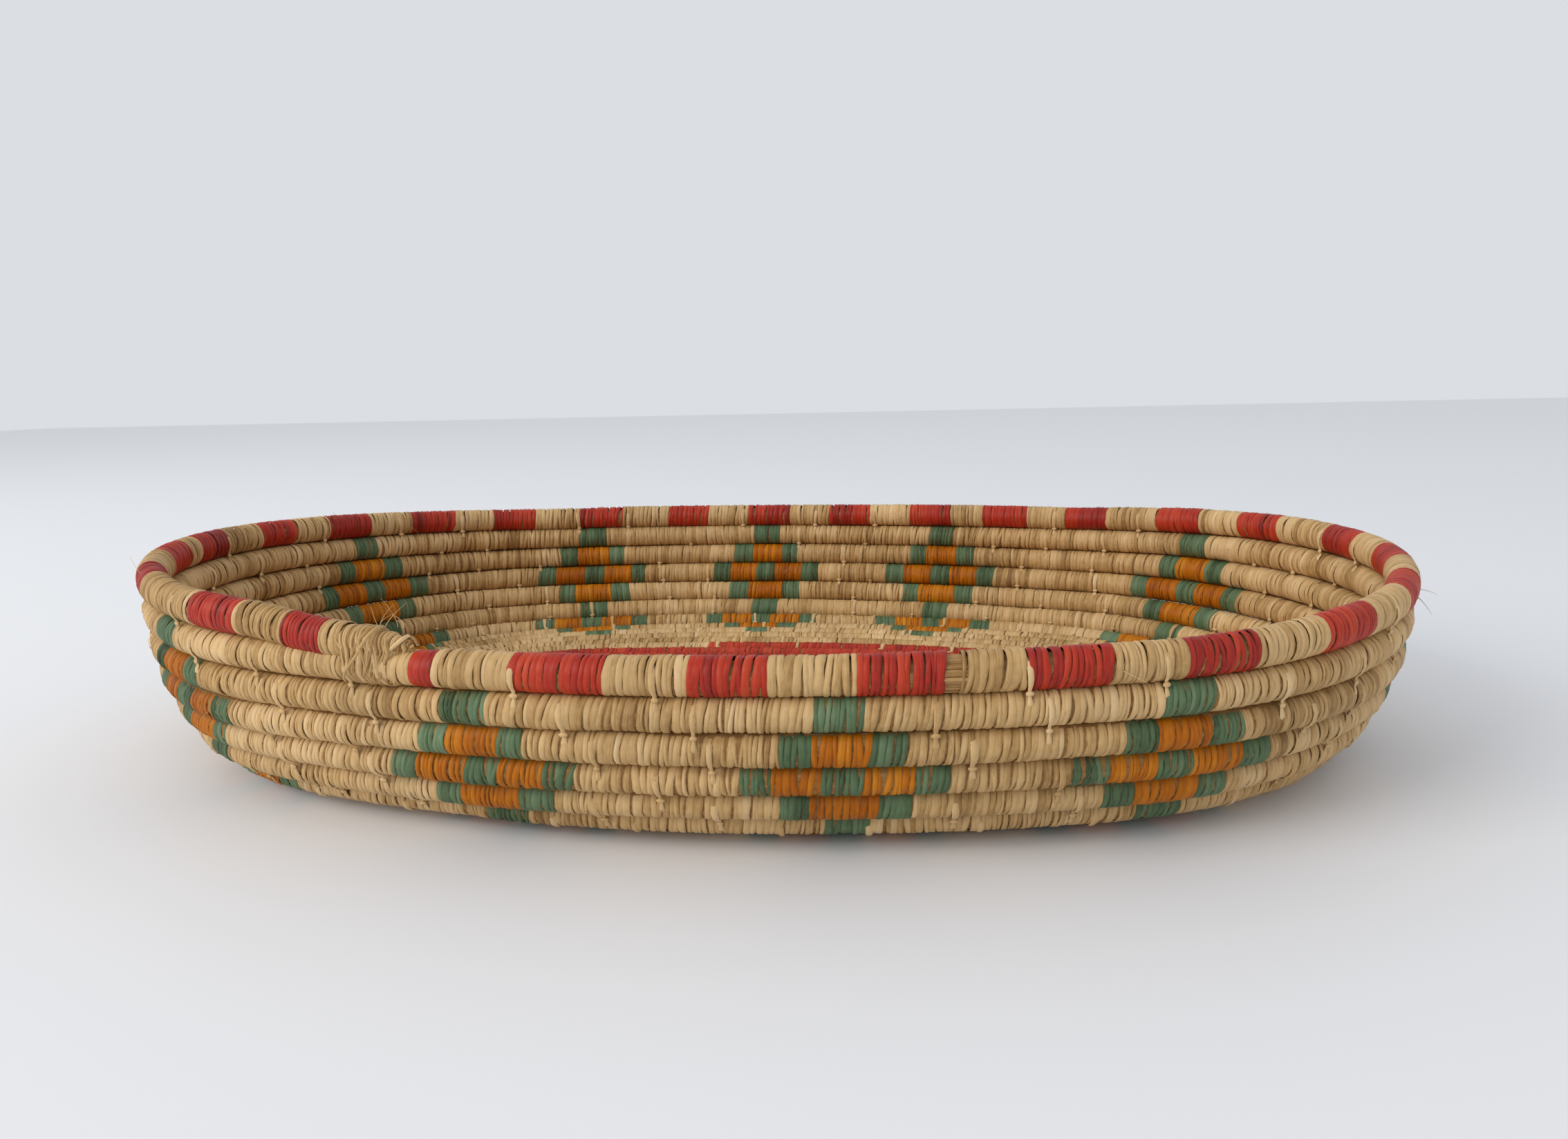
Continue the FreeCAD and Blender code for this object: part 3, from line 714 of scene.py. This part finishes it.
# ---- the coil's end, bound to the row below ----
def hull_loop(place, lower_place, radius_up, radius_low, sink, steps):
    """Points and outward normals of a loop pulled tight round both rows.

    sink moves the upper row's centre towards the lower one's, as a share of the way.
    """
    lower = LINE.at(LINE.points, lower_place)
    upper = LINE.at(LINE.points, place)
    upper = upper + (lower - upper) * sink
    along = LINE.at(LINE.along, place)
    down = unit(lower - upper - along * np.dot(lower - upper, along))
    out = np.cross(down, along)
    if np.dot(out, LINE.at(LINE.out, place)) < 0:
        out = -out
    span = float(np.linalg.norm(lower - upper))
    slope = math.asin(np.clip((radius_low - radius_up) / max(span, radius_low - radius_up + 0.01), -1, 1))
    top = np.linspace(math.pi + slope, -slope, steps // 2)
    bottom = np.linspace(-slope, -math.pi + slope, steps // 2)
    around = []
    for angle in top:
        around.append((upper, angle, radius_up))
    for angle in bottom:
        around.append((lower, angle, radius_low))
    around.append(around[0])
    normal = np.array([out * math.cos(angle) - down * math.sin(angle) for _, angle, _ in around])
    centres = np.array([centre for centre, _, _ in around])
    radii = np.array([radius for _, _, radius in around])
    points = centres + normal * radii[:, None]
    return points, normal


WHIPPING_PITCH = 0.8
WHIPPING_LIFT = 0.25
WHIPPING_PINCH = 0.45
WHIPPING_PAST_END = 5.0
WHIPPING_SINK = 0.7       # how far the upper row closes in on the lower one past the coil's end, as a share
WHIPPING_SINK_GAIN = 1.5
WHIPPING_WAIST = 0.42     # where the strands draw together, as a share of the whipping from the coil's end
WHIPPING_DEPTH = 0.1
WHIPPING_EDGE_DROP = 0.7
WHIPPING_NARROWING = 0.3
WHIPPING_TONE = 0.45
WHIPPING_TONE_SPREAD = 0.26
FIRST_WHIPPING_NUMBER = 9900    # sets each strand's streaks apart from every other strip's
LOOP_POINTS = 28
LAST_STRAND_LEFT = 0.05
CROSSING_STRANDS = 14
CROSSING_REACH = 0.75     # share of the whipping that the crossing strands lie over
CROSSING_RISE = 0.35
CROSSING_LIFT = 2.2
CROSSING_PULL = 5.0


def add_whipping(piece):
    """Strands wound side by side round the coil's end and the row below, then a few that cross over them."""
    rng = np.random.default_rng(WHIPPING_SEED)
    count = int((WHIPPING_LENGTH + WHIPPING_OVERLAP + WHIPPING_PAST_END) / WHIPPING_PITCH)
    middle = LINE.length - WHIPPING_LENGTH * WHIPPING_WAIST
    for number in range(count + CROSSING_STRANDS):
        crossing = number >= count
        left = WHIPPING_LENGTH + WHIPPING_OVERLAP - number * WHIPPING_PITCH
        if crossing:
            left = rng.uniform(0.5, WHIPPING_LENGTH * CROSSING_REACH)
        place = np.array(LINE.length - max(left, LAST_STRAND_LEFT))
        rise = CROSSING_RISE if crossing else 0.0
        lift = CROSSING_LIFT if crossing else 1.0
        radius_up = float((WRAPPED_RADIUS - WHIPPING_DEPTH) * end_share(place)) + rise
        radius_low = WRAPPED_RADIUS + WHIPPING_LIFT * lift + rng.normal(0.0, 0.16)
        lower_place = np.array(float(LINE.place(1)) - max(left, LAST_STRAND_LEFT))
        past_end = max(-left, 0.0)
        sink = WHIPPING_SINK * min(past_end / WHIPPING_PAST_END * WHIPPING_SINK_GAIN, 1.0)
        points, normal = hull_loop(place, lower_place, radius_up, radius_low, sink, LOOP_POINTS)
        along = LINE.at(LINE.along, place)
        height = (points - points.mean(axis=0)) @ LINE.at(LINE.down, place)
        share = (height - height.min()) / (height.max() - height.min())
        pull = (middle - float(place)) * WHIPPING_PINCH * share
        if crossing:
            pull = pull + rng.normal(0, CROSSING_PULL) * (share - 0.3)
        pull = pull + past_end + rng.normal(0, 0.3) + rng.normal(0, 0.8) * np.sin(share * math.pi)
        points = points + pull[:, None] * along
        width = np.full(len(points), rng.uniform(0.7, 1.2)) * (1 - WHIPPING_NARROWING * share)
        tone = float(np.clip(rng.normal(WHIPPING_TONE, WHIPPING_TONE_SPREAD), 0, 1))
        ribbon(piece, points, normal, width, WHIPPING_EDGE_DROP, tone, FIRST_WHIPPING_NUMBER + number)


# ---- loose fibres ----
FIBRE_ROOT_DEPTH = 0.2
FIBRE_LEAN = 0.6
FIBRE_CURL = 0.35
FIBRE_POINTS = 6
FIBRE_SIDES = 4
FIBRE_TIP = 0.3
FIBRE_FLOOR_GAP = 0.3
FIBRES_PER_ROW = 14
FIBRES_ON_WHIPPING = 7
FIBRE_ROWS = {"straw_wrap_rim": 0.5, "straw_wrap_wall_row_5": 1.5,
              "straw_wrap_wall_row_3": 3.5, "straw_wrap_base_row_2": 7.5}    # middle turn of each row


def add_fibre(piece, place, angle, length, rng):
    """A fine hair that stands off a strip."""
    place = np.array(float(place))
    root = LINE.surface(place, np.array(angle), wrapped_radius(place) - FIBRE_ROOT_DEPTH)
    out = unit(radial(place, np.array(angle)))
    along = LINE.at(LINE.along, place)
    share = np.linspace(0, 1, FIBRE_POINTS)[:, None]
    curl = rng.normal(0, FIBRE_CURL, 3)
    lean = along * FIBRE_LEAN * rng.choice([-1, 1]) * share ** 1.5
    points = root + length * (out * share + lean + curl * share ** 2)
    points[:, 2] = np.maximum(points[:, 2], FIBRE_FLOOR_GAP)
    add_thread(piece, points, rng.uniform(0.09, 0.17), rng.uniform(0.5, 1.0), FIBRE_SIDES, FIBRE_TIP)


def add_fibres(pieces):
    rng = np.random.default_rng(FIBRE_SEED)
    for name, turn in FIBRE_ROWS.items():
        for _ in range(FIBRES_PER_ROW):
            place = LINE.place(turn + rng.uniform(-0.45, 0.45))
            add_fibre(pieces[name], place, rng.uniform(-0.6, 3.6), rng.uniform(2.0, 5.0), rng)
    for _ in range(FIBRES_ON_WHIPPING):
        place = LINE.length - rng.uniform(3, 12)
        add_fibre(pieces["rim_end_whipping"], place, rng.uniform(1.2, 2.2), rng.uniform(4.0, 8.0), rng)


# ---- materials ----
def ramp(tree, factor, stops):
    node = tree.nodes.new("ShaderNodeValToRGB")
    elements = node.color_ramp.elements
    while len(elements) < len(stops):
        elements.new(0.5)
    for element, (position, colour) in zip(elements, stops):
        element.position = position
        element.color = (*colour, 1.0)
    tree.links.new(factor, node.inputs["Fac"])
    return node.outputs["Color"]


def maths(tree, operation, first, second):
    node = tree.nodes.new("ShaderNodeMath")
    node.operation = operation
    for socket, value in zip(node.inputs, (first, second)):
        if isinstance(value, (int, float)):
            socket.default_value = value
        else:
            tree.links.new(value, socket)
    return node.outputs[0]


def noise(tree, vector, scale, detail, stretch=(1.0, 1.0, 1.0)):
    mapping = tree.nodes.new("ShaderNodeMapping")
    mapping.inputs["Scale"].default_value = stretch
    tree.links.new(vector, mapping.inputs["Vector"])
    node = tree.nodes.new("ShaderNodeTexNoise")
    node.inputs["Scale"].default_value = scale
    node.inputs["Detail"].default_value = detail
    tree.links.new(mapping.outputs["Vector"], node.inputs["Vector"])
    return node.outputs["Fac"]


def around_zero(tree, value, strength):
    """A noise's values, from about minus to plus half the strength."""
    return maths(tree, "MULTIPLY", maths(tree, "SUBTRACT", value, 0.5), strength)


STREAK_STRETCH = (0.12, 4.5, 1.7)    # along the strip, across it and from strip to strip
STREAK_DETAIL = 3.0
STREAK_STRENGTH = 0.75
BLOTCH_STRETCH = (0.45, 0.6, 3.1)
BLOTCH_DETAIL = 2.0
BLOTCH_STRENGTH = 0.45
STAIN_SCALE = 34.0
STAIN_DETAIL = 3.0
BUMP_STRENGTH = 0.5
BUMP_DEPTH = 0.0002


def strip_material(name, stops, roughness, stain, specular=0.18):
    """Flat split leaf: the tone picks the colour, fine streaks run along the fibres, stains lie over it."""
    material = bpy.data.materials.new(name)
    material.use_nodes = True
    tree = material.node_tree
    shader = tree.nodes["Principled BSDF"]
    tone = tree.nodes.new("ShaderNodeAttribute")
    tone.attribute_name = "tone"
    fibre = tree.nodes.new("ShaderNodeAttribute")
    fibre.attribute_name = "fibre"
    place = tree.nodes.new("ShaderNodeTexCoord").outputs["Object"]
    streaks = noise(tree, fibre.outputs["Vector"], 1.0, STREAK_DETAIL, STREAK_STRETCH)
    blotches = noise(tree, fibre.outputs["Vector"], 1.0, BLOTCH_DETAIL, BLOTCH_STRETCH)
    value = maths(tree, "ADD", tone.outputs["Fac"], around_zero(tree, streaks, STREAK_STRENGTH))
    value = maths(tree, "ADD", value, around_zero(tree, blotches, BLOTCH_STRENGTH))
    colour = ramp(tree, value, stops)
    stains = noise(tree, place, STAIN_SCALE, STAIN_DETAIL)
    shade = maths(tree, "ADD", around_zero(tree, stains, stain), 1.0)
    mix = tree.nodes.new("ShaderNodeVectorMath")
    mix.operation = "SCALE"
    tree.links.new(colour, mix.inputs[0])
    tree.links.new(shade, mix.inputs["Scale"])
    tree.links.new(mix.outputs[0], shader.inputs["Base Color"])
    bump = tree.nodes.new("ShaderNodeBump")
    bump.inputs["Strength"].default_value = BUMP_STRENGTH
    bump.inputs["Distance"].default_value = BUMP_DEPTH
    tree.links.new(streaks, bump.inputs["Height"])
    tree.links.new(bump.outputs["Normal"], shader.inputs["Normal"])
    shader.inputs["Roughness"].default_value = roughness
    shader.inputs["Specular IOR Level"].default_value = specular
    return material


STRAW = ((0.0, (0.249, 0.133, 0.044)),
         (0.25, (0.396, 0.233, 0.087)),
         (0.55, (0.553, 0.354, 0.154)),
         (1.0, (0.682, 0.478, 0.249)))
RED = ((0.0, (0.156, 0.0099, 0.0048)),
       (0.3, (0.312, 0.0193, 0.012)),
       (0.6, (0.429, 0.03, 0.01)),
       (1.0, (0.515, 0.066, 0.024)))
GREEN = ((0.0, (0.036, 0.055, 0.023)),
         (0.3, (0.076, 0.121, 0.057)),
         (0.6, (0.108, 0.168, 0.084)),
         (1.0, (0.168, 0.234, 0.127)))
ORANGE = ((0.0, (0.24, 0.058, 0.0015)),
          (0.3, (0.38, 0.101, 0.0015)),
          (0.6, (0.47, 0.144, 0.003)),
          (1.0, (0.6, 0.234, 0.015)))
BUNDLE = ((0.0, (0.1, 0.043, 0.012)),
          (0.5, (0.28, 0.145, 0.048)),
          (1.0, (0.55, 0.34, 0.144)))
MATERIALS = {
    "straw_strips": strip_material("straw_strips", STRAW, 0.5, 0.5),
    "red_strips": strip_material("red_strips", RED, 0.45, 0.45, 0.22),
    "green_strips": strip_material("green_strips", GREEN, 0.55, 0.4),
    "orange_strips": strip_material("orange_strips", ORANGE, 0.5, 0.4),
    "straw_bundle": strip_material("straw_bundle", BUNDLE, 0.7, 0.4),
    "stitch_strips": strip_material("stitch_strips", STRAW, 0.5, 0.4),
    "whipping_strips": strip_material("whipping_strips", STRAW, 0.5, 0.5),
}


SLOTS = {entry["node"]: entry["material_slot"] for entry in frame["record"]["subparts"]}


# ---- everything together ----
pieces = {name: Piece() for name in frame["nodes"]}

strip_at, strip_pitch = strip_places()
strip_colours = colours_at(strip_at)
strip_turns = LINE.turn(strip_at)
strip_rows = np.array([row_name(turn) for turn in strip_turns])
numbers = np.arange(len(strip_at)) + 0.0
for name in sorted(pieces):
    if "_wrap_" not in name:
        continue
    colour, row = name.split("_wrap_")
    chosen = (strip_colours == colour) & (strip_rows == row)
    on_base = "base" in row or "centre" in row
    steps = BASE_STEPS if on_base else WALL_STEPS
    add_strips(pieces[name], strip_at[chosen], strip_pitch[chosen], numbers[chosen], steps)

limits = {"foundation_base": (0.0, float(LINE.place(WALL_TURNS))),
          "foundation_base_row_1": (float(LINE.place(WALL_TURNS)), FOOT_PLACE),
          "foundation_rim": (float(LINE.place(1)), LINE.length - BUNDLE_END_GAP)}
for whole in range(1, RIM_AND_WALL_ROWS):
    limits["foundation_" + row_name(whole)] = (float(LINE.place(whole + 1)), float(LINE.place(whole)))
for name, (start, end) in limits.items():
    add_bundle(pieces[name], start, end, is_end=name == "foundation_rim")
for start, end, colour in coloured_bands():
    if colour == "bare":
        add_reeds(pieces["foundation_rim"], start - REEDS_UNDER_STRIPS, end + REEDS_UNDER_STRIPS)

add_ties(pieces)
add_whipping(pieces["rim_end_whipping"])
add_fibres(pieces)

for name, piece in pieces.items():
    made = piece.make(name + "_visual", MATERIALS[SLOTS[name]])
    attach(made, "root")
    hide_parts(name)

# ---- floor, light and camera ----
FLOOR_SIZE = 8.0
FLOOR_COLOUR = (0.83, 0.835, 0.85)
FLOOR_ROUGHNESS = 0.6
SKY_COLOUR = (0.93, 0.96, 1.0)
SKY_STRENGTH = 0.76
WINDOW_PLACE = (-1.9, -1.4, 1.3)
WINDOW_TARGET = (0.0, 0.0, 0.03)
WINDOW_SIZE = 1.5
WINDOW_POWER = 38.0
WINDOW_COLOUR = (1.0, 0.98, 0.95)


def plain_material(name, colour, roughness):
    material = bpy.data.materials.new(name)
    material.use_nodes = True
    shader = material.node_tree.nodes["Principled BSDF"]
    shader.inputs["Base Color"].default_value = (*colour, 1.0)
    shader.inputs["Roughness"].default_value = roughness
    return material


bpy.ops.mesh.primitive_plane_add(size=FLOOR_SIZE, location=(0.0, 0.0, 0.0))
floor = bpy.context.object
floor.name = "floor"
floor.data.materials.append(plain_material("floor", FLOOR_COLOUR, FLOOR_ROUGHNESS))

world = bpy.data.worlds.new("sky")
bpy.context.scene.world = world
world.use_nodes = True
sky = world.node_tree.nodes["Background"]
sky.inputs["Color"].default_value = (*SKY_COLOUR, 1.0)
sky.inputs["Strength"].default_value = SKY_STRENGTH


def area_light(name, place, target, size, power, colour):
    data = bpy.data.lights.new(name, "AREA")
    data.energy = power
    data.size = size
    data.color = colour
    light = bpy.data.objects.new(name, data)
    bpy.context.scene.collection.objects.link(light)
    light.location = place
    direction = np.array(target) - np.array(place)
    flat = math.hypot(direction[0], direction[1])
    tilt = math.atan2(flat, -direction[2])
    heading = math.atan2(direction[1], direction[0]) - math.pi / 2
    light.rotation_euler = (tilt, 0.0, heading)


area_light("window", WINDOW_PLACE, WINDOW_TARGET, WINDOW_SIZE, WINDOW_POWER, WINDOW_COLOUR)

CAMERA_PLACE = (0.0732, -0.4022, 0.1258)
YAW = 0.1573
PITCH = 0.1715
ROLL = -0.0249
FOCAL_SHARE = 1565.0 / 2268.0     # focal length as a share of the picture's width
SENSOR = 36.0
NEAREST = 0.01

right = np.array([math.cos(YAW), math.sin(YAW), 0.0])
ahead = np.array([-math.sin(YAW) * math.cos(PITCH), math.cos(YAW) * math.cos(PITCH), -math.sin(PITCH)])
over = np.cross(right, ahead)
camera_x = math.cos(ROLL) * right + math.sin(ROLL) * over
camera_y = -math.sin(ROLL) * right + math.cos(ROLL) * over
data = bpy.data.cameras.new("camera")
data.sensor_width = SENSOR
data.lens = SENSOR * FOCAL_SHARE
data.clip_start = NEAREST
camera = bpy.data.objects.new("camera", data)
bpy.context.scene.collection.objects.link(camera)
matrix = np.eye(4)
matrix[:3, 0] = camera_x
matrix[:3, 1] = camera_y
matrix[:3, 2] = -ahead
matrix[:3, 3] = CAMERA_PLACE
camera.matrix_world = Matrix(matrix.tolist())
bpy.context.scene.camera = camera
bpy.context.scene.view_settings.view_transform = "Standard"
